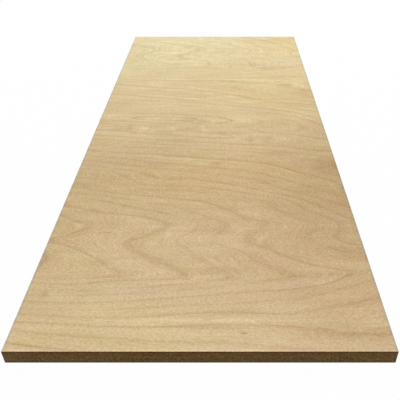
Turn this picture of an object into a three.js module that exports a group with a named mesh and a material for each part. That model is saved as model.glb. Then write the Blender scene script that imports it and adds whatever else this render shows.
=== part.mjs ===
// A plywood sheet: seven wood veneers, laid up with their grain crossed, glued and trimmed to a flat panel.
// All sizes are in millimetres. The origin is the middle of the underside. +X runs along the short side,
// which is the way the grain of the face runs, +Y runs along the long side and +Z points out of the face.
import * as THREE from "three";
import { ConvexGeometry } from "three/addons/geometries/ConvexGeometry.js";

// ---- Driving dimensions ------------------------------------------------------------------------------

const panelWidth = 406.4; // the short side, 16 in
const panelLength = 914.4; // the long side, 36 in

const faceVeneer = 0.6; // the two outer veneers, sanded smooth
const crossband = 3.4; // the veneers next to them, laid across their grain
const corePly = 3.4; // laid the same way as the faces
const centrePly = 3.2; // the one in the middle, laid across again
const glueLine = 0.05; // what the pressed glue leaves between two veneers

const arris = 0.25; // how far sandpaper takes back the sharp edges of both outer faces

// ---- Veneers -----------------------------------------------------------------------------------------
// Each one lies flat from z = 0 up to its thickness. The saw trims them all to one outline.

// The four corners of the panel's outline at height z, drawn in by inset on every side.
function outlineAt(z, inset = 0) {
  const x = panelWidth / 2 - inset;
  const y = panelLength / 2 - inset;
  return [
    new THREE.Vector3(-x, -y, z),
    new THREE.Vector3(x, -y, z),
    new THREE.Vector3(x, y, z),
    new THREE.Vector3(-x, y, z),
  ];
}

function squareEdged(thickness) {
  return new ConvexGeometry([...outlineAt(0), ...outlineAt(thickness)]);
}

// Half of an outer veneer's edge stays square, so that its glued face keeps the whole outline.
const easing = Math.min(arris, faceVeneer / 2);

function easedBelow(thickness) {
  return new ConvexGeometry([...outlineAt(0, easing), ...outlineAt(easing), ...outlineAt(thickness)]);
}

function easedAbove(thickness) {
  const squareTop = thickness - easing;
  return new ConvexGeometry([...outlineAt(0), ...outlineAt(squareTop), ...outlineAt(thickness, easing)]);
}

// ---- Lay-up, from the underside up -------------------------------------------------------------------
// grain is the way a veneer's fibres run. Along Y, their cut ends show on the panel's short edges, where
// they look a little lighter, and along X they show on its long edges.

const layUp = [
  { name: "back_veneer", shape: easedBelow, thickness: faceVeneer, grain: "x", colour: "#cdb083" },
  { name: "lower_crossband", shape: squareEdged, thickness: crossband, grain: "y", colour: "#8b6f45" },
  { name: "lower_core_ply", shape: squareEdged, thickness: corePly, grain: "x", colour: "#80653d" },
  { name: "centre_ply", shape: squareEdged, thickness: centrePly, grain: "y", colour: "#8e7248" },
  { name: "upper_core_ply", shape: squareEdged, thickness: corePly, grain: "x", colour: "#7e633b" },
  { name: "upper_crossband", shape: squareEdged, thickness: crossband, grain: "y", colour: "#8c7046" },
  { name: "face_veneer", shape: easedAbove, thickness: faceVeneer, grain: "x", colour: "#d3b88c" },
];

const wood = { roughness: 0.65, metalness: 0 };

const plywoodSheet = new THREE.Group();
plywoodSheet.name = "plywood_sheet";
let height = 0;
for (const { name, shape, thickness, grain, colour } of layUp) {
  const material = new THREE.MeshStandardMaterial({ ...wood, color: colour });
  const veneer = new THREE.Mesh(shape(thickness), material);
  veneer.name = name;
  veneer.userData.grain = grain;
  veneer.position.z = height;
  plywoodSheet.add(veneer);
  height += thickness + glueLine;
}

export default plywoodSheet;
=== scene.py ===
# %% [markdown]
# # A plywood sheet
# Plywood is made from veneers: thin skins that a long knife peels off a turning log. They are dried, laid up
# with their grain crossed, glued and pressed, and the sheet is trimmed on a saw. The seven veneers come in
# here as finished solids, so this lesson is about their finish: the figure of a peeled face, the sawn edges,
# and a plain room to see them in. The frame has to be loaded before anything else.

# %% Load the seven veneers
import math

import bpy
import numpy as np
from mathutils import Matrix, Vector


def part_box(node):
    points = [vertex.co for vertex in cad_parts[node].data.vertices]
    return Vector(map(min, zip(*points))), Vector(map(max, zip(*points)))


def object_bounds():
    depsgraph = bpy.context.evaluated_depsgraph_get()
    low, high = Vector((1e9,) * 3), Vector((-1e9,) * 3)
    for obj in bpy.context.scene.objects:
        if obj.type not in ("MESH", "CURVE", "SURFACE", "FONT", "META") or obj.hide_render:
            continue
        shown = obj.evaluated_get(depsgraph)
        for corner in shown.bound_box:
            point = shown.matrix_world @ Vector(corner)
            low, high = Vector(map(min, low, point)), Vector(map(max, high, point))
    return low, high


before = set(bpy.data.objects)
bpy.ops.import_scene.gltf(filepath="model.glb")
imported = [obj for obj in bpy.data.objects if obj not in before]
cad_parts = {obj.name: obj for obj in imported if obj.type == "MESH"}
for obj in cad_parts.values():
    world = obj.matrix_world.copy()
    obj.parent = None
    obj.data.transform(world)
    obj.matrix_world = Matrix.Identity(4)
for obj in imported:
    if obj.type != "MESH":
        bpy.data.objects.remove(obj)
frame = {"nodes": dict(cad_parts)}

cad_low, cad_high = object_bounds()
print("veneers:", ", ".join(frame["nodes"]))
print("box:", [round(value * 1000, 2) for value in cad_high - cad_low], "mm")

# %% [markdown]
# ## The sheet's own measures
# Everything below is placed from the box of the sheet, so the sizes are read off it once, in millimetres,
# which is the unit a joiner would use. Blender itself counts in metres.

# %% Measure the sheet
MM = 0.001
WIDTH, LENGTH, THICKNESS = ((cad_high - cad_low) / MM)[:]
print(f"sheet: {WIDTH:.1f} x {LENGTH:.1f} x {THICKNESS:.1f} mm")

# %% [markdown]
# ## The camera
# The sheet lies on the floor. The viewer stands at its near end, a little to the right of the middle, and
# looks down along it. The camera points straight along the sheet, because turning it or tilting it sideways
# would lean the sheet's lines. A shifted lens, as a view camera has, moves the picture in its frame instead.

# %% Place the camera
PICTURE = 400                     # pixels along each side of the picture
FOCAL = 499.2                     # focal length, counted in those pixels
CENTRE_U, CENTRE_V = 224.5, 145.0   # where the lens axis meets the picture, from its top left corner
SENSOR = 36.0                     # mm
DIP = 32.37                       # degrees below the horizon
EYE = Vector((25.2, -774.7, 469.7)) * MM
NEAREST = 0.01                    # metres: the camera sees nothing that is closer

lens = bpy.data.cameras.new("camera")
lens.sensor_width = SENSOR
lens.lens = FOCAL / PICTURE * SENSOR
lens.shift_x = 0.5 - CENTRE_U / PICTURE
lens.shift_y = CENTRE_V / PICTURE - 0.5
lens.clip_start = NEAREST
camera = bpy.data.objects.new("camera", lens)
camera.location = EYE
camera.rotation_euler = (math.radians(90 - DIP), 0.0, 0.0)
bpy.context.scene.collection.objects.link(camera)
bpy.context.scene.camera = camera
print(f"camera: {lens.lens:.1f} mm lens, {EYE.z / MM:.0f} mm above the floor, {DIP:.1f} degrees down")

# %% [markdown]
# ## Small helpers for materials
# A Blender material is a graph of nodes. Wiring it by hand in the editor is slow, and in plain Python it is
# wordy, so a few short functions add one node each and give back its output. A value can be a number or the
# output of another node, and `put` sorts out which.

# %% Node helpers
def put(socket, value):
    """Feed a socket from another node, or set the number or the colour that it holds."""
    if isinstance(value, bpy.types.NodeSocket):
        socket.id_data.links.new(value, socket)
    else:
        socket.default_value = value


def calc(tree, operation, *values):
    """One step of arithmetic."""
    node = tree.nodes.new("ShaderNodeMath")
    node.operation = operation
    for socket, value in zip(node.inputs, values):
        put(socket, value)
    return node.outputs[0]


def vector(tree, operation, *values, scale=None):
    """One step of arithmetic on places or colours."""
    node = tree.nodes.new("ShaderNodeVectorMath")
    node.operation = operation
    for socket, value in zip(node.inputs, values):
        put(socket, value)
    if scale is not None:
        put(node.inputs["Scale"], scale)
    return node.outputs["Value" if operation in ("LENGTH", "DOT_PRODUCT") else "Vector"]


def join(tree, x=0.0, y=0.0, z=0.0):
    """Three numbers as one place or one colour."""
    node = tree.nodes.new("ShaderNodeCombineXYZ")
    for socket, value in zip(node.inputs, (x, y, z)):
        put(socket, value)
    return node.outputs[0]


def parts(tree, place):
    """The X, Y and Z of a place."""
    node = tree.nodes.new("ShaderNodeSeparateXYZ")
    put(node.inputs[0], place)
    return node.outputs


print("helpers for arithmetic:", ", ".join(helper.__name__ for helper in (put, calc, vector, join, parts)))

# %% [markdown]
# ## Helpers that shape a value
# Arithmetic alone makes a stiff material. The first four of these bend a value: softly from one number to
# another, up and down at random, through any points one likes, and from one colour to the next. The last two
# add steps of colour, and start a material that has no nodes yet. Noises with different seeds have their
# clouds in different places.

# %% Shaping helpers
def ease(tree, value, start, end, low=0.0, high=1.0):
    """Go softly from low to high while value goes from start to end, and stay there."""
    node = tree.nodes.new("ShaderNodeMapRange")
    node.interpolation_type = "SMOOTHSTEP"
    for socket, number in zip(node.inputs, (value, start, end, low, high)):
        put(socket, number)
    return node.outputs[0]


def noise(tree, place, seed, detail=0.0, roughness=0.5):
    """Soft random values around zero, mostly between -1 and 1. One cloud is about one unit of place wide."""
    node = tree.nodes.new("ShaderNodeTexNoise")
    node.noise_dimensions = "4D"
    settings = {"Vector": place, "W": seed, "Scale": 1.0, "Detail": detail, "Roughness": roughness}
    for name, value in settings.items():
        put(node.inputs[name], value)
    return calc(tree, "MULTIPLY_ADD", node.outputs["Fac"], 4.0, -2.0)   # Fac is mostly 0.25 to 0.75


def curve(tree, value, points):
    """Bend a value from 0 to 1 through the given points."""
    node = tree.nodes.new("ShaderNodeFloatCurve")
    line = node.mapping.curves[0]
    line.points[0].location = points[0]
    line.points[1].location = points[-1]
    for x, y in points[1:-1]:
        line.points.new(x, y)
    node.mapping.update()
    put(node.inputs["Value"], value)
    return node.outputs[0]


def blend(tree, amount, first, second):
    """Go from one colour, in paint numbers, to another."""
    change = vector(tree, "SCALE", vector(tree, "SUBTRACT", second, first), scale=amount)
    return vector(tree, "ADD", first, change)


def add_steps(tree, colour, amount, steps):
    """Add steps of red, green and blue to a colour, as many times as amount says."""
    return vector(tree, "MULTIPLY_ADD", join(tree, amount, amount, amount), steps, colour)


def blank_material(name):
    """A material without any nodes yet."""
    material = bpy.data.materials.new(name)
    material.use_nodes = True
    material.node_tree.nodes.clear()
    return material, material.node_tree


shaping = (ease, noise, curve, blend, add_steps, blank_material)
print("helpers for shaping:", ", ".join(helper.__name__ for helper in shaping))

# %% [markdown]
# ## The floor
# Sheet goods are shown on white. The floor could be a white card, but a card is only as bright as its lamps,
# and lamps that burn a card out to white burn the pale wood too. So the floor is told what kind of ray looks
# at it. To the camera, and to a reflection, it is mostly its own white glow with a thin coat of white paint
# over it, which lets a faint shadow show where the sheet lies. To every other ray it is plain pale grey,
# so that it doesn't light the sawn edges from below. The glow takes over away from the sheet.

# %% Lay the floor
FLOOR_HALF = 6.0                  # metres
FLOOR_GAP = 0.1 * MM              # keeps the floor and the sheet's underside from sharing one plane
FLOOR_GREY = (0.5, 0.5, 0.5, 1.0)
FLOOR_PAINT = (0.8, 0.8, 0.8, 1.0)
PAINT_ENDS = (0.5, 1.0)           # metres from the middle of the sheet, where the paint thins out and is gone
GLOW_BY_SHEET = 0.98              # the share of the glow where the paint is full


def seen(tree):
    """1 for what the camera sees, straight, in a reflection or through glass, and 0 for other light."""
    rays = tree.nodes.new("ShaderNodeLightPath").outputs
    mirrored = calc(tree, "MAXIMUM", rays["Is Glossy Ray"], rays["Is Transmission Ray"])
    return calc(tree, "MAXIMUM", rays["Is Camera Ray"], mirrored)


def mix_shaders(tree, amount, first, second):
    """Go from one shader to another."""
    node = tree.nodes.new("ShaderNodeMixShader")
    for socket, value in zip(node.inputs, (amount, first.outputs[0], second.outputs[0])):
        put(socket, value)
    return node


def floor_material():
    material, tree = blank_material("white floor")
    grey = tree.nodes.new("ShaderNodeBsdfDiffuse")
    put(grey.inputs["Color"], FLOOR_GREY)
    paint = tree.nodes.new("ShaderNodeBsdfDiffuse")
    put(paint.inputs["Color"], FLOOR_PAINT)
    glow = tree.nodes.new("ShaderNodeEmission")
    away = vector(tree, "LENGTH", tree.nodes.new("ShaderNodeTexCoord").outputs["Object"])
    white = mix_shaders(tree, ease(tree, away, *PAINT_ENDS, GLOW_BY_SHEET, 1.0), paint, glow)
    floor_look = mix_shaders(tree, seen(tree), grey, white)
    output = tree.nodes.new("ShaderNodeOutputMaterial")
    put(output.inputs["Surface"], floor_look.outputs[0])
    return material


card = bpy.data.meshes.new("floor")
corners = [(-1, -1), (1, -1), (1, 1), (-1, 1)]
card.from_pydata([(x * FLOOR_HALF, y * FLOOR_HALF, 0.0) for x, y in corners], [], [(0, 1, 2, 3)])
card.materials.append(floor_material())
floor = bpy.data.objects.new("floor", card)
floor.location.z = cad_low.z - FLOOR_GAP
bpy.context.scene.collection.objects.link(floor)
print("floor: white,", 2 * FLOOR_HALF, "m square")

# %% [markdown]
# ## The light
# A lamp the size of a window hangs beyond the far end of the sheet. Its light runs towards the viewer, so
# the far end is the brighter one, the satin wood has a sheen there, and the near edge is in its own shade.
# The room adds an even light that comes mostly from above, as it does under a pale ceiling, so that the
# sawn edges stay darker than the face. Seen straight or in a reflection the walls are plain white.

# %% Hang the lamp and light the room
LAMP_POWER = 70.0                 # watts
LAMP_PLACE = Vector((0.0, 2.2, 2.15))   # metres
LAMP_TARGET = Vector((0.0, 0.1, 0.0))
LAMP_WIDTH, LAMP_DEPTH = 2.8, 1.6
CEILING_LIGHT = 0.60              # strength of the light that is added towards the top of the room
WALL_LIGHT = 0.08                 # strength of what comes from every side


def hang_lamp():
    lamp = bpy.data.lights.new("window lamp", "AREA")
    lamp.shape = "RECTANGLE"
    lamp.size = LAMP_WIDTH
    lamp.size_y = LAMP_DEPTH
    lamp.energy = LAMP_POWER
    holder = bpy.data.objects.new("window lamp", lamp)
    holder.location = LAMP_PLACE
    holder.rotation_euler = (LAMP_TARGET - LAMP_PLACE).to_track_quat("-Z", "Y").to_euler()
    bpy.context.scene.collection.objects.link(holder)


def light_room():
    room = bpy.data.worlds.new("room")
    bpy.context.scene.world = room
    room.use_nodes = True
    tree = room.node_tree
    tree.nodes.clear()
    direction = parts(tree, tree.nodes.new("ShaderNodeTexCoord").outputs["Generated"])
    height = calc(tree, "MAXIMUM", direction["Z"], 0.0)
    light = calc(tree, "MULTIPLY_ADD", height, CEILING_LIGHT, WALL_LIGHT)
    walls = tree.nodes.new("ShaderNodeBackground")
    put(walls.inputs["Color"], (1.0, 1.0, 1.0, 1.0))
    put(walls.inputs["Strength"], calc(tree, "MAXIMUM", light, seen(tree)))
    output = tree.nodes.new("ShaderNodeOutputWorld")
    put(output.inputs["Surface"], walls.outputs[0])


hang_lamp()
light_room()
bpy.context.scene.view_settings.view_transform = "Standard"
print(f"light: one lamp of {LAMP_POWER:.0f} W, ceiling {CEILING_LIGHT}, walls {WALL_LIGHT}")

# %% [markdown]
# ## The figure of a peeled face
# A lathe knife unrolls a log into one long skin. Where the log is out of round, bent or tapered, the knife
# runs out of one yearly ring and into the next, and each ring boundary leaves a line on the skin: straight
# where the knife cuts steeply through the rings, wide and zigzag where it runs along them. The face is thus
# a map of how deep in the tree each point was, with the ring boundaries as its contour lines.
#
# A Wave Texture bent by noise gives lines, but not this map: its lines never open into a lens or nest their
# tips. So the ring boundaries are drawn as contour lines, in millimetres from the middle of the sheet, X
# along the grain and Y up the sheet, each with the number of its ring. The rings grow from 0, in the tips at
# the left, to more than 20, in the small lens.

# %% Draw the ring boundaries
RING_11 = [   # the boldest line of the near half
    (-203, -79), (-172, -83), (-132, -88), (-92, -90), (-42, -98), (-12, -102), (43, -108), (85, -115),
    (103, -122), (123, -131), (140, -142), (158, -150.5), (183, -161), (196, -169), (203, -181),
]
CREST_UP, SLOPE_UP = -6, 5        # mm from that line: a pale crest below it and a slope above it


def moved(line, up):
    """The same line, some millimetres further up the sheet."""
    return [(x, y + up) for x, y in line]


RINGS = [   # ring number, then the points of one line
    # near half: from the tips at the left to the steady slope
    (0, [(-203, -317.5), (-194, -326.5), (-203, -335.5)]),
    (1, [(-203, -242.5), (-187, -251.5), (-170, -257.5), (-160, -262.5), (-157, -267.5), (-165, -274.5),
        (-177, -282.5), (-203, -292.5)]),
    (1, [(-203, -298.5), (-184, -300.5), (-167, -306.5), (-144, -320.5), (-132, -328.5), (-112, -343.5),
        (-94, -355.5), (-129, -357.5), (-169, -358.5), (-203, -356.5)]),
    (2, [(-203, -223.5), (-174, -230), (-152, -238), (-112, -243), (-90, -246.5), (-70, -253), (-57, -259),
        (-52, -264), (-57, -272), (-67, -278), (-82, -286.5), (-99, -293.5), (-106, -299.5), (-99, -307.5),
        (-84, -317.5), (-59, -331.5), (-39, -343.5), (-19, -354.5), (-42, -359.5), (-79, -360.5),
        (-115, -362.5), (-149, -366.5), (-175, -367), (-203, -364.5)]),
    (3, [(-203, -200), (-177, -206), (-152, -212), (-129, -219), (-102, -227), (-62, -238), (-40, -246.5),
        (-14, -258), (-7, -265), (-19, -276), (-34, -288), (-39, -295.5), (-29, -306.5), (-17, -316.5),
        (3, -332.5), (21, -347.5), (32, -355.5), (16, -362.5), (-12, -366.5), (-52, -371), (-82, -373.5),
        (-129, -377), (-203, -375)]),
    (4, [(-203, -192), (-149, -201), (-95, -214), (-47, -224), (-22, -236), (-2, -247), (23, -258),
        (31, -265), (21, -277), (9, -289), (9, -297), (21, -303.5), (48, -314.5), (68, -331.5),
        (93, -346.5), (118, -353.5), (86, -359.5), (51, -366.5), (1, -373.5), (-49, -378), (-102, -383),
        (-169, -384), (-203, -383)]),
    (5, [(-203, -181), (-165, -188), (-115, -198), (-62, -205), (-12, -213), (1, -218), (23, -229.5),
        (50, -248), (65, -254.5), (81, -257.5), (78, -268), (58, -283), (52, -293), (63, -303),
        (81, -309.5), (98, -321.5), (123, -333.5), (148, -341.5), (180, -347.5), (165, -358.5),
        (146, -366.5), (121, -372.5), (86, -377), (51, -379), (10, -383), (-62, -390.5), (-127, -395),
        (-169, -394), (-203, -392)]),
    (6, [(-203, -155), (-174, -159), (-147, -165), (-132, -171), (-114, -180), (-77, -187), (-40, -188),
        (-12, -192.5), (28, -200), (63, -208.5), (83, -213.5), (98, -232.5), (121, -247), (149, -260),
        (143, -274), (131, -286), (138, -297), (161, -307), (203, -320)]),
    (7, [(-203, -132), (-165, -135), (-140, -145), (-117, -162), (-95, -174.5), (-77, -177), (-42, -176.5),
        (-12, -178.5), (48, -191.5), (73, -198.5), (110, -208.5), (121, -213.5), (133, -223.5), (140, -235),
        (158, -243.5), (173, -253.5), (180, -258.5), (178, -274.5), (170, -286), (174, -294), (184, -299.5),
        (203, -303)]),
    (8, [(-203, -122), (-157, -130), (-107, -141), (-87, -150.5), (-67, -160.5), (-52, -159.5),
        (-17, -159.5), (18, -168.5), (60, -180), (80, -189.5), (116, -199.5), (151, -217.5), (176, -237.5),
        (203, -254.5)]),
    (9, [(-203, -108), (-159, -115), (-127, -122), (-90, -130), (-52, -138), (-2, -144), (48, -153.5),
        (73, -161.5), (110, -182.5), (148, -200), (166, -208.5), (203, -226.5)]),
    (10, [(-203, -95), (-149, -101), (-120, -109), (-82, -115), (-52, -120), (-30, -124), (10, -129),
        (38, -135), (73, -143), (113, -158), (151, -181), (203, -206.5)]),
    (11, RING_11),
    (12, [(-203, -64), (-149, -68), (-99, -70), (-44, -74), (1, -77), (48, -81), (98, -89), (135, -97),
        (171, -109), (203, -123)]),
    (13, [(-203, -44), (-149, -49), (-102, -58), (-47, -63), (13, -68), (85, -76), (123, -84), (161, -92),
        (203, -102)]),
    (14, [(-203, -31), (-149, -36), (-109, -43), (-67, -48), (-12, -54), (60, -61), (130, -69), (160, -76),
        (203, -84)]),
    # near half: the same rings again, below the tips
    (6, [(203, -359.5), (167, -372.5), (148, -377.5), (118, -387), (98, -390), (63, -391.5), (48, -395),
        (-12, -397), (-102, -404), (-149, -404.5), (-203, -402)]),
    (7, [(-203, -410), (-152, -413), (-72, -415), (-40, -411), (23, -406.5), (98, -410), (128, -403),
        (167, -397), (187, -390), (203, -384)]),
    (8, [(-203, -420.5), (-165, -422), (-102, -426), (-52, -427), (10, -424), (73, -424), (110, -426.5),
        (125, -432), (147, -436.5), (203, -434.5)]),
    (9, [(-203, -430.5), (-152, -437), (-97, -441.5), (-27, -445), (23, -445.5), (81, -450.5),
        (130, -457.5)]),
    (10, [(-203, -446.5), (-177, -450), (-127, -456)]),
    # the hook, the arches and the lens
    (15, [(-203, -12), (-149, -19), (-99, -27), (-42, -34), (13, -42), (31, -41), (38, -36), (31, -29),
        (13, -24), (-19, -19), (-59, -14)]),
    (15, [(-59, -12), (-19, -10), (21, -8), (46, -7), (73, -12), (98, -21), (123, -26), (148, -29),
        (173, -37), (203, -46)]),
    (15, [(-203, 93), (-99, 84), (1, 73), (61, 62), (111, 50), (151, 39), (181, 22), (203, 4)]),
    (16, [(-203, 78), (-99, 72), (1, 63), (61, 50), (111, 37), (141, 26), (158, 14), (166, 4), (169, -8),
        (156, -16), (123, -15), (91, -10), (61, -6), (21, -7), (-19, -8), (-59, -7)]),
    (17, [(-203, 66), (-99, 63), (1, 54), (41, 46), (81, 34), (111, 27), (126, 21), (135, 13), (123, 5),
        (110, -1), (91, -4), (61, -4), (23, -5), (-19, -5), (-59, -3), (-139, 3), (-203, 6)]),
    (18, [(-203, 55), (-102, 54), (-49, 50), (1, 44), (31, 38), (61, 30), (86, 24), (99, 17), (91, 10),
        (73, 3), (46, -1), (23, -3), (-19, 0), (-59, 3), (-119, 5), (-203, 12)]),
    (19, [(-203, 48), (-102, 47), (-47, 42), (5, 36), (31, 28), (42, 21), (31, 16), (13, 12), (-27, 8),
        (-52, 10), (-115, 11), (-147, 18), (-203, 19)]),
    (20, [(-141, 33), (-102, 37), (-62, 34), (-29, 28), (-20, 24), (-37, 21), (-77, 22), (-129, 26),
        (-144, 30), (-141, 33)]),
    # far half: from the lens back to the far tips
    (14, [(-203, 111), (-129, 103), (-99, 98), (-67, 94), (-17, 88), (43, 79), (73, 73), (98, 70),
        (130, 61), (166, 48), (203, 28)]),
    (13, [(-203, 132), (-152, 122), (-102, 113), (-77, 108), (-39, 100), (11, 92), (63, 85), (93, 82),
        (123, 77), (161, 68), (203, 54)]),
    (12, [(-203, 146), (-177, 142), (-139, 133), (-99, 125), (-59, 118), (-27, 114), (1, 104), (51, 93),
        (111, 85), (203, 70)]),
    (11, [(-203, 157), (-164, 152), (-99, 144), (-64, 136), (-29, 126), (1, 116), (31, 106), (61, 98),
        (111, 94), (203, 83)]),
    (10, [(-203, 175), (-162, 167), (-115, 158), (-62, 154), (-27, 146), (-1, 140), (24, 131), (61, 121),
        (78, 109), (93, 106), (121, 107), (148, 107), (168, 103), (203, 96)]),
    (9, [(-203, 191), (-139, 184), (-74, 178), (-40, 174), (-16, 172), (39, 161), (74, 151), (99, 144),
        (131, 144), (160, 142), (183, 135), (203, 113)]),
    (8, [(-203, 201), (-162, 197), (-99, 193), (-47, 191), (-1, 192), (46, 188), (99, 181), (141, 173),
        (154, 165), (173, 155), (188, 145), (198, 133), (203, 123)]),
    (7, [(-203, 211), (-137, 208), (-1, 207), (99, 208), (149, 213), (203, 217)]),
    (6, [(-203, 218), (-99, 219), (2, 222), (102, 230), (152, 238), (203, 250)]),
    (5, [(-203, 227), (-99, 229), (2, 233), (52, 238), (113, 246), (152, 257), (180, 269), (192, 281),
        (162, 290), (134, 299), (116, 307), (84, 327), (71, 335), (79, 345), (89, 360), (74, 376),
        (52, 389), (39, 402), (9, 415), (-28, 426), (-99, 442)]),
    (4, [(-203, 236), (-99, 238), (2, 239), (52, 248), (64, 264), (89, 272), (82, 293), (64, 310),
        (42, 318), (30, 329), (40, 346), (52, 362), (32, 376), (4, 391), (-28, 411), (-78, 429)]),
    (3, [(-203, 245), (-99, 247), (2, 250), (36, 254), (42, 266), (38, 281), (30, 293), (17, 304), (2, 314),
        (-10, 326), (2, 341), (20, 361), (4, 381), (-9, 388), (-33, 404), (-78, 417)]),
    (2, [(-203, 254), (-149, 257), (-105, 259), (-51, 261), (-23, 264), (-9, 271), (-8, 283), (-14, 294),
        (-26, 302), (-56, 305), (-71, 314), (-85, 326), (-80, 335), (-51, 354), (-41, 364), (-56, 379),
        (-71, 385), (-84, 401), (-119, 412), (-159, 421), (-203, 428)]),
    (1, [(-203, 266), (-149, 268), (-109, 272), (-92, 278), (-109, 285), (-134, 294), (-159, 306),
        (-171, 318), (-187, 331), (-180, 337), (-152, 349), (-140, 366), (-155, 382), (-187, 392),
        (-203, 398)]),
    (0, [(-203, 285), (-187, 292), (-177, 300), (-189, 309), (-203, 317)]),
    (6, [(203, 291), (167, 307), (137, 320), (124, 335), (130, 350), (140, 369), (124, 383), (106, 396),
        (91, 415), (52, 435), (22, 448)]),
    (7, [(203, 320), (192, 327), (180, 337), (183, 350), (190, 364), (179, 378), (157, 404), (132, 423),
        (112, 433), (82, 447)]),
    (8, [(203, 392), (192, 409), (172, 426), (142, 445)]),
    # levels between two boundaries, which keep a crest, a broad band or a slope in its place
    (14.8, [(-29, -16), (11, -15), (23, -16)]),
    (20.45, [(-124, 31), (-89, 31), (-49, 26)]),
    (15.45, [(-149, -13), (-99, -20), (-39, -26), (11, -33), (25, -35)]),
    (9.5, [(72, 131), (111, 126), (161, 124)]),
    (1.6, [(-94, 387), (-119, 397), (-154, 406)]),
    (10.8, moved(RING_11, CREST_UP)),
    (11.25, moved(RING_11, SLOPE_UP)),
    (1.93, [(-63, -256), (-60, -264), (-66, -271), (-80, -279), (-98, -288), (-110, -299), (-104, -309),
        (-88, -320), (-62, -335)]),
    (2.08, [(-46, -258), (-44, -266), (-55, -277), (-72, -287), (-88, -294), (-91, -301), (-84, -309),
        (-66, -320), (-40, -333), (-28, -342)]),
    (4.93, [(68, -258.5), (68, -266), (56, -277), (47, -287), (46, -294), (54, -304)]),
    (5.08, [(92, -256), (90, -266), (74, -279), (66, -288), (66, -294), (76, -303)]),
]
print("ring boundaries:", len(RINGS), "lines,", sum(len(line) for _, line in RINGS), "points")

# %% [markdown]
# ## From contour lines to a height map
# A surveyor draws a hill from its contours by laying the smoothest surface that passes through them all.
# The same is done here with a spline surface, which a grid of control values pulls up and down. It has few
# bays across the sheet, because a tree changes slowly along its trunk, and a bay every seven millimetres up
# the sheet. At any place sixteen control values act together, four by four, each with a weight from a smooth
# bell curve.

# %% Spline and line helpers
BAYS_ACROSS = 12
BAYS_ALONG = 128
STEP = 4.0                        # mm between the samples on a line


def spline_weights(position, bays):
    """Which four control values act at each position, and how much each of them counts."""
    position = np.asarray(position, float)
    first = np.clip(np.floor(position).astype(int), 0, bays - 1)
    part = position - first
    far_before = (1 - part) ** 3
    before = 3 * part ** 3 - 6 * part ** 2 + 4
    after = -3 * part ** 3 + 3 * part ** 2 + 3 * part + 1
    far_after = part ** 3
    return first[:, None] + np.arange(4), np.stack([far_before, before, after, far_after], axis=1) / 6


def walk(line):
    """Points every few millimetres along a drawn line."""
    corners = np.array(line, float)
    reach = np.concatenate([[0.0], np.cumsum(np.hypot(*np.diff(corners, axis=0).T))])
    steps = np.linspace(0.0, reach[-1], max(2, int(reach[-1] / STEP) + 1))
    return np.column_stack([np.interp(steps, reach, corners[:, axis]) for axis in (0, 1)])


print(f"bays: {WIDTH / BAYS_ACROSS:.1f} mm across the sheet, {LENGTH / BAYS_ALONG:.1f} mm along it")

# %% [markdown]
# ## The fit
# The lines have to become control values. Each drawn line is sampled every few millimetres, and each sample
# says what the surface should be there. A least squares fit finds the values that come closest to all
# samples at once. A little stiffness keeps the surface smooth where no line is near. It is weaker up the
# sheet than across it, so that the surface can follow close rings.

# %% Fit the ring map
STIFF_ALONG_GRAIN = 0.006
STIFF_ACROSS_GRAIN = 0.0008


def stiffness():
    """How much a bend of the surface costs, for every pair of control values."""
    along_grain, across_grain = np.eye(BAYS_ACROSS + 3), np.eye(BAYS_ALONG + 3)
    bend_along = np.diff(along_grain, 2, axis=0)
    bend_across = np.diff(across_grain, 2, axis=0)
    cost = STIFF_ALONG_GRAIN * np.kron(bend_along.T @ bend_along, across_grain)
    return cost + STIFF_ACROSS_GRAIN * np.kron(along_grain, bend_across.T @ bend_across)


def fit_rings():
    """The control values of the smooth surface through all ring boundaries, a row for each place across."""
    points = np.concatenate([walk(line) for _, line in RINGS])
    levels = np.concatenate([np.full(len(walk(line)), float(ring)) for ring, line in RINGS])
    column, across = spline_weights((points[:, 0] / WIDTH + 0.5) * BAYS_ACROSS, BAYS_ACROSS)
    row, along = spline_weights((points[:, 1] / LENGTH + 0.5) * BAYS_ALONG, BAYS_ALONG)
    index = (column[:, :, None] * (BAYS_ALONG + 3) + row[:, None, :]).reshape(len(points), 16)
    weight = (across[:, :, None] * along[:, None, :]).reshape(len(points), 16)
    normal = stiffness()
    pull = np.zeros(len(normal))
    np.add.at(normal, (index[:, :, None], index[:, None, :]), weight[:, :, None] * weight[:, None, :])
    np.add.at(pull, index, weight * levels[:, None])
    values = np.linalg.solve(normal, pull)
    miss = np.abs((values[index] * weight).sum(axis=1) - levels).mean()
    print(f"ring map: {len(points)} samples, missed by {miss:.3f} of a ring on average")
    return values.reshape(BAYS_ACROSS + 3, BAYS_ALONG + 3)


ring_map = fit_rings()

# %% [markdown]
# ## The ring map as nodes
# A material has no memory for a table, but a Float Curve node holds a line of points. Each row of control
# values becomes one such curve, a strip that runs the length of the sheet. Across the sheet the strips are
# blended with the same bell-shaped weights that the fit used, so the node group gives back the surface that
# was fitted. The curves hold values from 0 to 1, so they are stretched back to ring numbers at the end.

# %% Build the ring map group
def bell(tree, away):
    """The weight of a strip at a distance from it, counted in bays."""
    away = calc(tree, "ABSOLUTE", away)
    wide = calc(tree, "POWER", calc(tree, "MAXIMUM", calc(tree, "SUBTRACT", 2.0, away), 0.0), 3.0)
    narrow = calc(tree, "POWER", calc(tree, "MAXIMUM", calc(tree, "SUBTRACT", 1.0, away), 0.0), 3.0)
    return calc(tree, "DIVIDE", calc(tree, "MULTIPLY_ADD", narrow, -4.0, wide), 6.0)


def from_end(tree, y):
    """0 at the near end of the sheet and 1 at the far end."""
    return calc(tree, "MULTIPLY_ADD", y, 1 / LENGTH, 0.5)


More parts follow.
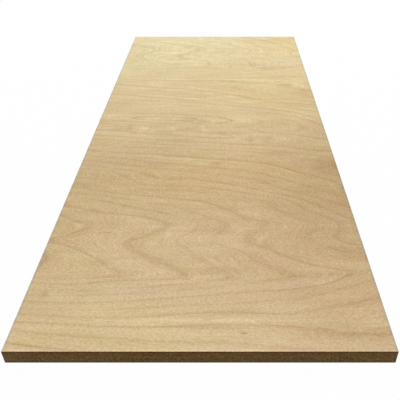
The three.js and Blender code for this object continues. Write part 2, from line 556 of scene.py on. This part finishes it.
def ring_group():
    tree = bpy.data.node_groups.new("ring map", "ShaderNodeTree")
    tree.interface.new_socket("Place", in_out="INPUT", socket_type="NodeSocketVector")
    tree.interface.new_socket("Rings", in_out="OUTPUT", socket_type="NodeSocketFloat")
    place = parts(tree, tree.nodes.new("NodeGroupInput").outputs["Place"])
    bay = calc(tree, "MULTIPLY_ADD", place["X"], BAYS_ACROSS / WIDTH, BAYS_ACROSS / 2)
    reach = from_end(tree, place["Y"])
    low, high = ring_map.min(), ring_map.max()
    heights = (ring_map[:, :-2] + 4 * ring_map[:, 1:-1] + ring_map[:, 2:]) / 6   # of the spline at its knots
    knots = np.linspace(0.0, 1.0, BAYS_ALONG + 1).tolist()
    total = 0.0
    for number, strip in enumerate((heights - low) / (high - low)):
        weight = bell(tree, calc(tree, "SUBTRACT", bay, number - 1.0))   # the first is one bay off the sheet
        height = curve(tree, reach, list(zip(knots, strip.tolist())))
        total = calc(tree, "MULTIPLY_ADD", height, weight, total)
    output = tree.nodes.new("NodeGroupOutput")
    put(output.inputs["Rings"], calc(tree, "MULTIPLY_ADD", total, high - low, low))
    print(f"ring map group: {len(heights)} strips, {len(tree.nodes)} nodes")
    return tree


RING_GROUP = ring_group()


def rings_at(tree, place):
    """The ring number at a place on the sheet."""
    node = tree.nodes.new("ShaderNodeGroup")
    node.node_tree = RING_GROUP
    put(node.inputs["Place"], place)
    return node.outputs["Rings"]

# %% [markdown]
# ## What a ring looks like
# Within one year a tree first grows pale open wood and then, towards autumn, a thin dense line. So across a
# ring the tone climbs out of one dark line, stays pale for most of the year and sinks again a little before
# the next line. One Float Curve holds that profile, and it is read with the fraction of the ring number.
# No two years are alike, so a curve over the whole ring number says how bold each boundary is. There are two
# of those, because a ring that shows at both ends of the sheet isn't cut the same way twice. From here on,
# tones are counted in shade steps: one step is one unit of the usual 0 to 255 colour numbers.

# %% Ring profile and boldness
PROFILE = [(0.0, 0.05), (0.02, 0.01), (0.05, 0.15), (0.09, 0.32), (0.14, 0.45), (0.2, 0.53), (0.3, 0.6),
           (0.45, 0.65), (0.6, 0.67), (0.72, 0.66), (0.82, 0.61), (0.89, 0.5), (0.94, 0.35), (0.97, 0.2),
           (0.985, 0.11), (1.0, 0.05)]
RING_DEPTH = 17.0                 # shade steps from 0 to 1 on that curve, at a boldness of 1
BOLD_NEAR = [1.0, 1.0, 1.2, 0.5, 0.65, 1.1, 0.7, 0.95, 1.3, 0.9, 1.0, 1.4, 0.6, 0.9, 1.1, 1.0, 0.8, 0.4, 0.3,
             1.3, 1.4]            # for ring boundaries 0 to 20
BOLD_FAR = [1.0, 1.0, 1.1, 0.5, 0.6, 0.9, 0.6, 1.1, 1.2, 0.7, 1.5, 0.6, 0.8, 1.3, 1.2, 0.6, 0.5, 0.4, 0.3,
            1.3, 1.4]
FAR_FROM = (0.5, 0.56)            # where the second list takes over, from 0 to 1 along the sheet
BOLDEST = 2.0                     # what a curve's 1 stands for
BOLD_BY_PLACE = [(0.0, 0.55), (0.28, 0.52), (0.36, 0.48), (0.44, 0.6), (0.5, 0.75), (0.56, 0.65), (0.62, 0.5),
                 (0.8, 0.45), (0.9, 0.48), (1.0, 0.48)]   # how bold the whole figure is along the sheet


def boldness(tree, rings, reach):
    """How bold the figure is, from the ring number and from how far along the sheet the place is."""
    last = len(BOLD_NEAR) - 1
    share = calc(tree, "DIVIDE", rings, last)
    near, far = (curve(tree, share, [(ring / last, bold / BOLDEST) for ring, bold in enumerate(numbers)])
                 for numbers in (BOLD_NEAR, BOLD_FAR))
    bold = calc(tree, "MULTIPLY_ADD", ease(tree, reach, *FAR_FROM), calc(tree, "SUBTRACT", far, near), near)
    by_place = calc(tree, "MULTIPLY", curve(tree, reach, BOLD_BY_PLACE), BOLDEST)
    return calc(tree, "MULTIPLY", calc(tree, "MULTIPLY", bold, BOLDEST), by_place)


def ring_tone(tree, rings, bold):
    """Shade steps for a ring number."""
    tone = calc(tree, "SUBTRACT", curve(tree, calc(tree, "FRACT", rings), PROFILE), 0.5)
    return calc(tree, "MULTIPLY", tone, calc(tree, "MULTIPLY", bold, RING_DEPTH))


for half, numbers in (("near", BOLD_NEAR), ("far", BOLD_FAR)):
    print(f"boldest boundary in the {half} half: ring {numbers.index(max(numbers))}")

# %% [markdown]
# ## Fibres
# Wood is a bundle of long cells, so its fine texture is always longer along the grain than across it. Noise
# that is stretched along the grain gives that at once. One noise can't cover it: pores are a millimetre
# apart and soft streaks a hand's width long. So several layers are added up, each with its own size along
# and across the grain and its own strength.

# %% Fibre layers
FACE_FIBRES = [(3.0, 2.0, 8.3), (80.0, 5.0, 2.0), (40.0, 12.0, 2.5), (150.0, 60.0, 2.3)]
FIBRE_SEEDS = 7.3                 # from the seed of one layer to that of the next


def fibres(tree, place, grain, layers, seed):
    """The sum of stretched noises: millimetres along and across the grain, and shade steps."""
    total = 0.0
    for number, (along, across, steps) in enumerate(layers):
        scale = [1 / across] * 3
        scale["xyz".index(grain)] = 1 / along
        layer = noise(tree, vector(tree, "MULTIPLY", place, scale), seed + FIBRE_SEEDS * number)
        total = calc(tree, "MULTIPLY_ADD", layer, steps, total)
    return total


print("fibre layers of a face:", len(FACE_FIBRES))

# %% [markdown]
# ## From shade steps to a wood surface
# A change of a few shade steps looks alike on pale and on dark wood, so all tones are added up as paint
# numbers and turned into light values at the end, with one Gamma node. The shader gets that colour, a very
# low relief from the same fibres, and a roughness that is a little lower where the relief stands up, because
# that is what rubbing polishes. The specular level is under Blender's usual half, because bare sanded wood
# has no film on it.

# %% Wood surface
SHADE_STEP = (1.11, 1.25, 1.50)   # red, green and blue: the haze of the sheen dilutes blue most
SCREEN_GAMMA = 2.2
DARKEST = (0.01, 0.01, 0.01)      # keeps the Gamma node off negative numbers
POLISH = -0.004                   # roughness for each shade step of relief
SPECULAR = 0.35


def wood_surface(material, tree, paint_numbers, shade, relief, depth, roughness):
    """Finish a wood material from its paint numbers, its shade steps and its relief."""
    total = vector(tree, "SCALE", add_steps(tree, paint_numbers, shade, SHADE_STEP), scale=1 / 255)
    light = tree.nodes.new("ShaderNodeGamma")
    put(light.inputs["Color"], vector(tree, "MAXIMUM", total, DARKEST))
    put(light.inputs["Gamma"], SCREEN_GAMMA)
    bump = tree.nodes.new("ShaderNodeBump")
    put(bump.inputs["Height"], relief)
    put(bump.inputs["Strength"], 1.0)
    put(bump.inputs["Distance"], depth * MM)
    shader = tree.nodes.new("ShaderNodeBsdfPrincipled")
    put(shader.inputs["Base Color"], light.outputs[0])
    put(shader.inputs["Roughness"], calc(tree, "MULTIPLY_ADD", relief, POLISH, roughness))
    put(shader.inputs["Specular IOR Level"], SPECULAR)
    put(shader.inputs["Normal"], bump.outputs[0])
    output = tree.nodes.new("ShaderNodeOutputMaterial")
    put(output.inputs["Surface"], shader.outputs[0])
    return material


def millimetres(tree):
    """The place on the sheet in millimetres, from the middle of its underside."""
    return vector(tree, "SCALE", tree.nodes.new("ShaderNodeTexCoord").outputs["Object"], scale=1 / MM)


print("one shade step:", SHADE_STEP, "of red, green and blue")

# %% [markdown]
# ## Marks
# No real face is only rings and fibres. It has small dark flecks, cloudy patches where the grain dips, and
# beside some rings a stripe that is paler or darker than that year's profile. Those that can be picked out
# are soft ellipses, placed and turned one by one. The grain runs along them, so most are several times
# longer than wide. Cycles has room for some 170 of them in one material, so only the clearest are drawn.

# %% Marks on the face
MARKS = [   # x, y, half length and half width in millimetres, tilt in degrees, shade steps
    # near half: flecks and small clouds
    (140, -352, 38, 12, 0, -5), (178, -349, 16, 5, 5, 7), (-168, -265, 16, 8, 0, 9),
    (-130, -262, 32, 9, 0, -6), (-162, -284, 22, 4.5, 15, -9), (-182, -383, 9, 10, 0, -14),
    (-202, -326.5, 14, 14, 0, -9), (95, -350.5, 22, 5, -15, -12), (113, -355.5, 16, 5, 0, -10),
    (156, -351.5, 14, 4, 0, -8), (-96, -357.5, 16, 5, 0, -8), (-16, -355.5, 14, 5, 0, -4),
    (34, -357.5, 16, 6, 0, -9), (46, -435, 6, 2.5, 0, -36), (6, -418, 8, 2.5, 0, -16),
    (135, -431, 16, 5, -15, -6), (-131, -278.5, 14, 2.2, 3, -22), (-127, -231.5, 3, 2.5, 0, -18),
    (-8, -301, 3, 2.2, 0, -16), (-61, -300.5, 12, 6, 60, -6), (13, -117, 14, 6, 0, -14),
    (-16, -118, 22, 6, 0, 7), (36, -127, 16, 5, -10, 6), (103, -145, 12, 6, 0, 6),
    (-79, -167, 22, 8, -20, -5), (-24, -187.5, 10, 3, -10, -8),
    # near half: stripes beside the ring boundaries
    (-195, -429.5, 16, 2.5, 0, -9), (160, -430, 30, 3, -3, 7), (158, -152, 40, 4, -25, 9),
    (162, -185, 32, 5, -27, 6), (-78, -105.5, 62, 2.8, -7.5, -12), (-165, -83.5, 45, 2.8, -7, 8),
    (-182, -90, 32, 2.5, -7, -10), (-38, -47.5, 18, 3.5, 0, 9), (-182, -449.4, 38, 2.2, -7.5, -13),
    (0, -418.5, 170, 3.5, 0, 10), (-40, -426.5, 130, 2.2, 0, -6), (20, -428, 45, 3, 0, -5),
    (130, -429, 14, 3, -10, -8), (156, -435, 14, 2.5, 0, -12), (-95, -357.5, 42, 2.5, 4, 7),
    (-40, -364.5, 42, 2.5, 6, 7), (-40, -368.5, 42, 2, 6.5, -9), (22, -359, 28, 2, 14, -8),
    (140, -365, 24, 4, 20, 7), (-72, -154, 26, 7, -25, 10), (-122, -221, 46, 2.5, -17, -8),
    (-60, -239, 30, 2.5, -16, -8), (-50, -48, 16, 4, -5, 9), (-105, -374, 26, 7, 0, 5),
    (-66, -300, 18, 5, 0, 8), (-50, -285, 16, 5, 35, 8), (-15, -218, 24, 4, -14, 9),
    (-95, -235, 24, 4, -16, 8), (-92, -216, 16, 4, -10, 7), (14, -331, 24, 4, -35, 9),
    (-110, -335, 18, 8, 20, 7), (-95, -252, 30, 7, -12, 6), (45, -274, 14, 7, 45, 7),
    (72, -291, 7, 8, 0, 8), (62, -240, 22, 6, -30, 7), (105, -268, 14, 10, 0, 6),
    (-100, -95, 50, 4, -4, 10), (-30, -105, 50, 4, -6, 10), (45, -114, 50, 4, -8, 10),
    (118, -135, 36, 4, -29, 10),
    # the cloudy band beside the lens
    (-38, -24, 34, 3.2, 0, -11), (42, -22, 26, 2.6, 3, 8), (196, 10, 18, 5, -40, 9),
    (-144, -6, 11, 20, 0, -12), (-167, -12, 22, 10, 0, -9), (-136, -22, 10, 8, 0, -8),
    (-121, -6, 12, 10, 0, 11), (-124, -21, 8, 8, 0, 8), (-107, -7, 5, 12, 0, -9), (-96, 0, 10, 7, 0, -5),
    (-79, -21, 26, 12, -8, -11), (-67, -8, 14, 6, -55, 10), (-39, -8, 16, 6, -10, -9),
    (-14, -3, 9, 13, 0, 11), (-11, -16, 9, 4, 0, 8), (13, -18, 26, 6, -25, -5), (32, -25, 5, 9, 20, 12),
    (49, -31, 10, 7, 0, -8), (67, -45, 16, 8, -15, -11), (105, -41, 14, 7, 0, -9), (123, -44, 26, 14, 0, 8),
    (56, -1, 34, 6, 8, -9), (95, 15, 9, 7, 0, -5), (134, 6, 20, 11, 0, -7), (131, 24, 32, 4, -14, -6),
    (61, 18, 34, 12, 0, 6), (28, 25, 20, 6, -20, -6), (-41, 26, 24, 5, -5, -5), (-137, 33, 9, 10, 0, -4),
    (85, -16, 42, 3.5, -17, -7), (85, -28, 26, 5, -10, 7), (0, -37, 42, 3.5, -2, -12),
    # the outline of the lens, and its dark middle made paler
    (-28, 17, 30, 4.5, 3, 8), (-110, 47, 60, 4, 0, -8), (-35, 41, 45, 3.5, -6, -8),
    (20, 33, 22, 3.5, -20, -5), (39, 20, 7, 5, 60, -8), (18, 12, 22, 4, 15, -14), (-20, 8, 30, 4, 0, -14),
    (-80, 10, 42, 4, -1, -8), (-30, 20, 18, 9, 20, 14), (-10, 17, 7, 5, 0, 8),
    # far half: flecks, clouds and stripes
    (195, 151, 10, 6, 0, 10), (178, 144, 26, 4, -12, -7), (190, 49, 18, 4, -15, -9),
    (169, 277, 12, 7, 0, -9), (-20, 124, 30, 3.5, -25, 7), (44, 187, 14, 4, 0, -10),
    (157, 171, 19, 11, 0, -14), (191, 150, 20, 9, -35, -16), (14, 114, 8, 4, 0, 15), (52, 116, 26, 8, 0, 5),
    (47, 159, 16, 8, 0, -7), (64, 181, 8, 5, 0, -6), (-9, 423, 9, 8, 0, -9), (39, 404, 10, 8, 0, -8),
    (105, 397, 8, 10, 30, -7), (-18, 281, 16, 10, 50, -9), (38, 263, 8, 12, 0, -9),
    (87, 267, 10, 14, 0, -7), (-102, 305, 12, 10, 0, -6), (-154, 366, 18, 16, 0, 7),
    (-63, 366, 20, 14, 0, 5), (-58, 327, 16, 14, 0, 6), (-149, 322, 30, 12, -10, 5),
    (114, 357, 10, 16, 0, 6), (112, 405, 26, 14, -30, 4), (-60, 201, 120, 6, -1, 6),
    (122, 191, 46, 9, -8, 5), (75, 198, 100, 7, -3, 8), (-115, 193, 60, 4, -2, -6),
    (-110, 122, 60, 5, -10, 10), (66, 95, 60, 8, -9, 8), (-10, 89, 50, 4, -12, -6),
    (42, 78, 32, 4, -15, -5), (142, 144, 26, 5, -7, -9), (45, 118, 20, 6, -12, 7),
    (-40, 109, 34, 5, -12, 5), (-20, 152, 40, 5, -12, 6),
    # broad clouds on the whole sheet
    (100, 428, 85, 40, 0, -9), (-100, 432, 60, 35, 0, 5), (-125, 380, 50, 30, 0, -6),
    (100, 283, 80, 40, 0, -9), (180, 282, 35, 30, 0, 8), (-60, 232, 100, 35, 0, 7), (60, 30, 80, 30, 0, 9),
    (203, -5, 55, 60, 0, -12), (200, -125, 50, 40, 0, -11), (25, -270, 70, 40, 0, -8),
    (50, -320, 80, 35, 0, -6), (-80, -418, 90, 35, 0, 6), (175, 178, 40, 35, 0, 7),
    (180, 130, 40, 30, 0, -8), (-115, 80, 70, 30, 0, 6), (-140, -115, 100, 30, 0, -5),
]


def soft_patch(tree, place, x, y, half_length, half_width, tilt=0.0):
    """1 in the middle of an ellipse, falling softly to 0 at its edge."""
    turn = math.radians(tilt)
    away = vector(tree, "SUBTRACT", place, (x, y, 0.0))
    long_axis = (math.cos(turn) / half_length, math.sin(turn) / half_length, 0.0)
    short_axis = (-math.sin(turn) / half_width, math.cos(turn) / half_width, 0.0)
    along = vector(tree, "DOT_PRODUCT", away, long_axis)
    across = vector(tree, "DOT_PRODUCT", away, short_axis)
    square = calc(tree, "MULTIPLY_ADD", along, along, calc(tree, "MULTIPLY", across, across))
    return ease(tree, calc(tree, "SQRT", square), 1.0, 0.0)


def mark_tone(tree, place, ellipses):
    """The shade steps of all marks together."""
    total = 0.0
    for *ellipse, steps in ellipses:
        total = calc(tree, "MULTIPLY_ADD", soft_patch(tree, place, *ellipse), steps, total)
    return total


print("marks:", len(MARKS), "of which", sum(mark[-1] < 0 for mark in MARKS), "dark")

# %% [markdown]
# ## Tints
# The colour of wood also drifts slowly, between yellow, pink and grey, and the near half of this face is
# darker beside its right edge. The broad changes are soft ellipses again, each with its own steps of red,
# green and blue. The faint mottle over them is noise, in three sizes of cloud.

# %% Tints and mottle
TINTS = [   # x, y, half length and half width in millimetres, then steps of red, green and blue
    (-60, 457, 560, 330, (-3, 6, 5)), (60, 300, 460, 260, (2, 6, 4)), (203, 420, 150, 150, (0, -3, -12)),
    (120, 120, 260, 170, (0, 2, -4)), (203, -190, 230, 200, (-17, -20, -20)), (50, -320, 180, 180, (1, 0, 1)),
    (203, -400, 260, 220, (-8, -12, -12)), (-203, -120, 260, 130, (-3, -3, -1)),
    (0, -330, 520, 260, (3, 2, 4)), (-215, 150, 70, 420, (-3, 1, 0)), (-100, 50, 220, 130, (-2, 1, 0)),
    (-160, 265, 160, 140, (-2, 1, 0)), (30, -150, 260, 110, (2, -1, -6)), (80, 390, 140, 130, (2, -1, 0)),
    (-80, -435, 240, 70, (0, 0, -5)),
]
MOTTLE = [(12.0, 7.0, (1.0, -0.5, 0.0)), (45.0, 16.0, (1.3, -0.7, 0.0)), (50.0, 20.0, (0.2, 0.3, -2.0))]
MOTTLE_SEEDS = 4.7


def tinted(tree, place, colour, seed):
    """A colour with the tints and the mottle added, in paint numbers."""
    for *ellipse, steps in TINTS:
        colour = add_steps(tree, colour, soft_patch(tree, place, *ellipse), steps)
    for number, (along, across, steps) in enumerate(MOTTLE):
        stretched = vector(tree, "MULTIPLY", place, (1 / along, 1 / across, 1 / across))
        colour = add_steps(tree, colour, noise(tree, stretched, seed + MOTTLE_SEEDS * number), steps)
    return colour


print("tints:", len(TINTS), "patches and", len(MOTTLE), "sizes of mottle")

# %% [markdown]
# ## Sawn edges
# A saw leaves wood quite unlike a sanded face. Its teeth score fine lines up the edge, the cut fibres drink
# in dust and glue, and the whole edge is a dark, mottled brown, partly its own colour and partly painted
# shade. The stretched fibre noise already knows which way each ply runs: where a ply is cut across its grain
# the same noise shows as round speckle, and where it is cut along its grain it shows as streaks. Next to the
# face the edge is painted darker, a warmer brown that is part glue line and part painted shade under the
# face; next to the back it is painted shade where the sheet meets the floor.

# %% Sawn edge texture
EDGE_FIBRES = [(2.6, 1.5, 20.0), (1.2, 0.4, 8.0), (30.0, 3.0, 6.0), (90.0, 12.0, 4.0)]
SAW_MARKS = (0.7, 25.0, 5.0)      # mm apart, mm high, shade steps
STAINS = [(20.0, 7.0, (4.0, -5.0, -2.0)), (7.0, 3.5, (0.0, 3.0, -9.0))]   # mm along and up the edge, steps
SAW_SEED = 50.0                   # added to a ply's own seed
STAIN_SEED = 77.0                 # the same for all plies, so that a stain runs over their joints
# painted shade: the dark bands at the top and bottom of every sawn edge; by the face they also hold the glue
# line
SHADE_BANDS = (2.9, 1.9)               # mm from the face or the back, where it starts and where it is full
GLUE_AND_SHADE_BY_FACE = (-19.0, -29.0, -41.0)
PAINTED_SHADE_BY_BACK = (-28.0, -24.0, -16.0)


def sawn_edge(tree, place, grain, seed):
    """Shade steps and colour steps of an edge, for a ply whose grain runs along an axis."""
    texture = fibres(tree, place, grain, EDGE_FIBRES, seed)
    apart, high, steps = SAW_MARKS
    stretched = vector(tree, "MULTIPLY", place, (1 / apart, 1 / apart, 1 / high))
    marks = noise(tree, stretched, seed + SAW_SEED, detail=1.0)
    shade = calc(tree, "MULTIPLY_ADD", marks, steps, texture)
    height = parts(tree, place)["Z"]
    # painted shade next to the face, with its glue line, and painted shade next to the back, where the sheet
    # meets the floor
    by_face = ease(tree, calc(tree, "SUBTRACT", THICKNESS, height), *SHADE_BANDS)
    colour_steps = vector(tree, "SCALE", GLUE_AND_SHADE_BY_FACE, scale=by_face)
    colour_steps = add_steps(tree, colour_steps, ease(tree, height, *SHADE_BANDS), PAINTED_SHADE_BY_BACK)
    for number, (along, up, steps) in enumerate(STAINS):
        stretched = vector(tree, "MULTIPLY", place, (1 / along, 1 / along, 1 / up))
        stain = noise(tree, stretched, STAIN_SEED + number, detail=1.0)
        colour_steps = add_steps(tree, colour_steps, stain, steps)
    return shade, colour_steps


print("sawn edge:", len(EDGE_FIBRES), "layers of fibres and", len(STAINS), "of stains")

# %% [markdown]
# ## A veneer's figure and texture
# Each outer veneer takes its rings from the ring map, lightly shaken by noise so that no line is drawn too
# clean. Two kinds of fine texture lie over the rings. Fibres run straight along the grain. Streaks are
# spaced by the ring number instead of by millimetres, so they follow the figure round every tip. Both are
# coarser towards the far end of this sheet.

# %% Veneer figure and texture
SHAKE = (0.03, (0.02, 0.08, 0.1))   # rings, and its clouds to a millimetre along x, y and z
PATCHY = (0.15, (0.02, 0.06, 0.1))
FIGURE_STEP = (0.99, 1.25, 1.28)  # red, green and blue: the dense wood is redder, not just darker
STREAKS = [(15.0, 20.0, 7.5), (90.0, 9.0, 3.5)]   # mm along the grain, streaks to a ring, shade steps
STREAK_SEEDS = 3.1
COARSE_NEAR, COARSE_FAR = 0.92, 1.36              # how strong the fine texture is at the two ends


def shaken_rings(tree, place, mirror, seed):
    """The ring number at a place, a little shaken. A mirror of -1 swaps left and right."""
    strength, scale = SHAKE
    shake = noise(tree, vector(tree, "MULTIPLY", place, scale), seed, detail=3.0, roughness=0.7)
    rings = rings_at(tree, vector(tree, "MULTIPLY", place, (mirror, 1.0, 1.0)))
    return calc(tree, "MULTIPLY_ADD", shake, strength, rings)


def figure_tone(tree, place, reach, rings, ellipses, seed):
    """Steps of the rings and the marks."""
    strength, scale = PATCHY
    patchy = noise(tree, vector(tree, "MULTIPLY", place, scale), seed, detail=3.0, roughness=0.7)
    patchy = calc(tree, "MULTIPLY_ADD", patchy, strength, 1.0)
    tone = ring_tone(tree, rings, calc(tree, "MULTIPLY", patchy, boldness(tree, rings, reach)))
    return calc(tree, "ADD", tone, mark_tone(tree, place, ellipses))


def face_texture(tree, place, reach, rings, seed):
    """The straight fibres alone, and the shade steps of fibres and streaks together."""
    straight = fibres(tree, place, "x", FACE_FIBRES, seed + 2.0)
    along_grain = parts(tree, place)["X"]
    total = straight
    for number, (along, per_ring, steps) in enumerate(STREAKS):
        spacing = calc(tree, "MULTIPLY", rings, per_ring)
        stretched = join(tree, calc(tree, "MULTIPLY", along_grain, 1 / along), spacing)
        streak = noise(tree, stretched, seed + STREAK_SEEDS * number, detail=1.0)
        total = calc(tree, "MULTIPLY_ADD", streak, steps, total)
    coarse = calc(tree, "MULTIPLY_ADD", reach, COARSE_FAR - COARSE_NEAR, COARSE_NEAR)
    return straight, calc(tree, "MULTIPLY", total, coarse)


print("streaks to a ring:", ", ".join(f"{per_ring:.0f}" for _, per_ring, _ in STREAKS))

# %% [markdown]
# ## The two outer veneers
# The face and the back are peeled from one log, so they are one material with two sets of values, and the
# back shows the rings mirrored. The tone drifts from end to end. Along the two long edges the wood is greyer.
# A narrow strip along each short edge is paler, a painted highlight where the corner catches the light, up to
# a fine dark brown line right at the corner. A veneer's own thin edge, which the shader finds by the way it
# faces, is sawn wood.

# %% Face and back veneers
FACE_TONE = [(0.0, 0.86), (0.06, 0.72), (0.2, 0.58), (0.33, 0.46), (0.45, 0.5), (0.55, 0.56), (0.7, 0.6),
             (0.85, 0.66), (1.0, 0.74)]
TONE_RANGE = 60.0                 # shade steps from 0 to 1 on that curve
FACE_PAINT = (200.0, 170.0, 118.0)
BACK_PAINT = (190.0, 160.0, 112.0)
# the dark brown of a veneer's thin edge, partly its own colour and partly painted shade
THIN_EDGE_PAINT = (108.0, 78.0, 28.0)
RIM = 4.0                         # mm
RIM_STEPS = (-16.0, -7.0, 8.0)
# painted highlight: a paler strip along each short edge, where the corner catches the light
HIGHLIGHT_STRIP = 3.2                       # mm
HIGHLIGHT_STRIP_STEPS = (9.0, 9.0, 15.0)
# a fine dark brown line along each short edge, right at the corner
CORNER_LINE = 1.0                       # mm
CORNER_LINE_STEPS = (-24.0, -38.0, -44.0)
FLAT_FROM, FLAT_TO = 0.9, 0.8     # how much of the surface's direction is up or down: sanded face, sawn edge
FACE_RELIEF = 0.002               # mm of height for each shade step of fibres
FACE_ROUGHNESS = 0.55


def sheet_colour(tree, place, paint_numbers, figure, seed):
    """The paint numbers of the broad side of a veneer."""
    colour = tinted(tree, place, paint_numbers, seed)
    colour = add_steps(tree, colour, figure, FIGURE_STEP)
    side = parts(tree, vector(tree, "ABSOLUTE", place))
    rim = ease(tree, side["X"], WIDTH / 2 - RIM, WIDTH / 2 - RIM / 4)
    # painted highlight along each short edge
    painted_highlight = ease(tree, side["Y"], LENGTH / 2 - HIGHLIGHT_STRIP, LENGTH / 2 - HIGHLIGHT_STRIP / 2)
    corner_line = ease(tree, side["Y"], LENGTH / 2 - CORNER_LINE, LENGTH / 2 - CORNER_LINE / 3)
    for cover, steps in ((rim, RIM_STEPS), (painted_highlight, HIGHLIGHT_STRIP_STEPS), (corner_line, CORNER_LINE_STEPS)):
        colour = add_steps(tree, colour, cover, steps)
    return colour


def sawn_share(tree):
    """1 on a veneer's thin edge and 0 on its broad sides."""
    facing = parts(tree, tree.nodes.new("ShaderNodeTexCoord").outputs["Normal"])
    return ease(tree, calc(tree, "ABSOLUTE", facing["Z"]), FLAT_FROM, FLAT_TO)


def veneer_material(name, paint_numbers, ellipses, mirror, seed):
    """The material of an outer veneer. What is added to seed only keeps one texture unlike another."""
    material, tree = blank_material(name)
    place = millimetres(tree)
    reach = from_end(tree, parts(tree, place)["Y"])
    rings = shaken_rings(tree, place, mirror, seed)
    figure = figure_tone(tree, place, reach, rings, ellipses, seed + 1.0)
    texture, shade = face_texture(tree, place, reach, rings, seed)
    drift = calc(tree, "SUBTRACT", curve(tree, reach, FACE_TONE), 0.5)
    shade = calc(tree, "MULTIPLY_ADD", drift, TONE_RANGE, shade)
    colour = sheet_colour(tree, place, paint_numbers, figure, seed + 9.0)
    edge_shade, edge_steps = sawn_edge(tree, place, "x", seed + 5.0)
    sawn = sawn_share(tree)
    colour = blend(tree, sawn, colour, vector(tree, "ADD", edge_steps, THIN_EDGE_PAINT))
    shade = calc(tree, "MULTIPLY_ADD", sawn, calc(tree, "SUBTRACT", edge_shade, shade), shade)
    return wood_surface(material, tree, colour, shade, texture, FACE_RELIEF, FACE_ROUGHNESS)


finishes = {"face_veneer": veneer_material("face_veneer", FACE_PAINT, MARKS, 1.0, 1.0),
            "back_veneer": veneer_material("back_veneer", BACK_PAINT, [], -1.0, 40.0)}
for name, finish in finishes.items():
    print(f"{name}: {len(finish.node_tree.nodes)} nodes")

# %% [markdown]
# ## The inner plies
# Each inner ply has its own brown, a dark one that is partly its own colour and partly painted shade, and
# the lower plies are painted a little paler, to even out the shade that deepens towards the floor. Where two
# plies meet, the pressed glue shows as a fine dark line and soaks a little way into the wood.

# %% Inner plies
GLUE_SOAK = 0.6                   # mm
GLUE_STEPS = -16.0
EDGE_RELIEF = 0.004               # mm of height for each shade step
EDGE_ROUGHNESS = 0.8
# dark browns, partly painted shade; the lower plies a little paler to even out the shade that deepens towards
# the floor
PLIES = {   # the way the grain runs, and the paint numbers
    "lower_crossband": ("y", (146.0, 117.0, 70.0)), "lower_core_ply": ("x", (137.0, 107.0, 57.0)),
    "centre_ply": ("y", (141.0, 110.0, 61.0)), "upper_core_ply": ("x", (132.0, 103.0, 56.0)),
    "upper_crossband": ("y", (135.0, 105.0, 58.0)),
}
FIRST_PLY_SEED, PLY_SEEDS = 60.0, 10.0


def ply_material(name, grain, paint_numbers, seed):
    material, tree = blank_material(name)
    place = millimetres(tree)
    texture, edge_steps = sawn_edge(tree, place, grain, seed)
    low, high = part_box(name)
    bottom, top = low[2] / MM, high[2] / MM
    height = parts(tree, place)["Z"]
    upper_glue = ease(tree, height, top - GLUE_SOAK, top)
    lower_glue = ease(tree, height, bottom + GLUE_SOAK, bottom)
    shade = calc(tree, "MULTIPLY_ADD", calc(tree, "MAXIMUM", upper_glue, lower_glue), GLUE_STEPS, texture)
    colour = vector(tree, "ADD", edge_steps, paint_numbers)
    return wood_surface(material, tree, colour, shade, texture, EDGE_RELIEF, EDGE_ROUGHNESS)


for number, (name, (grain, paint_numbers)) in enumerate(PLIES.items()):
    finishes[name] = ply_material(name, grain, paint_numbers, FIRST_PLY_SEED + PLY_SEEDS * number)
for name, finish in finishes.items():
    mesh = frame["nodes"][name].data
    mesh.materials.clear()
    mesh.materials.append(finish)
print("finished:", ", ".join(finishes))
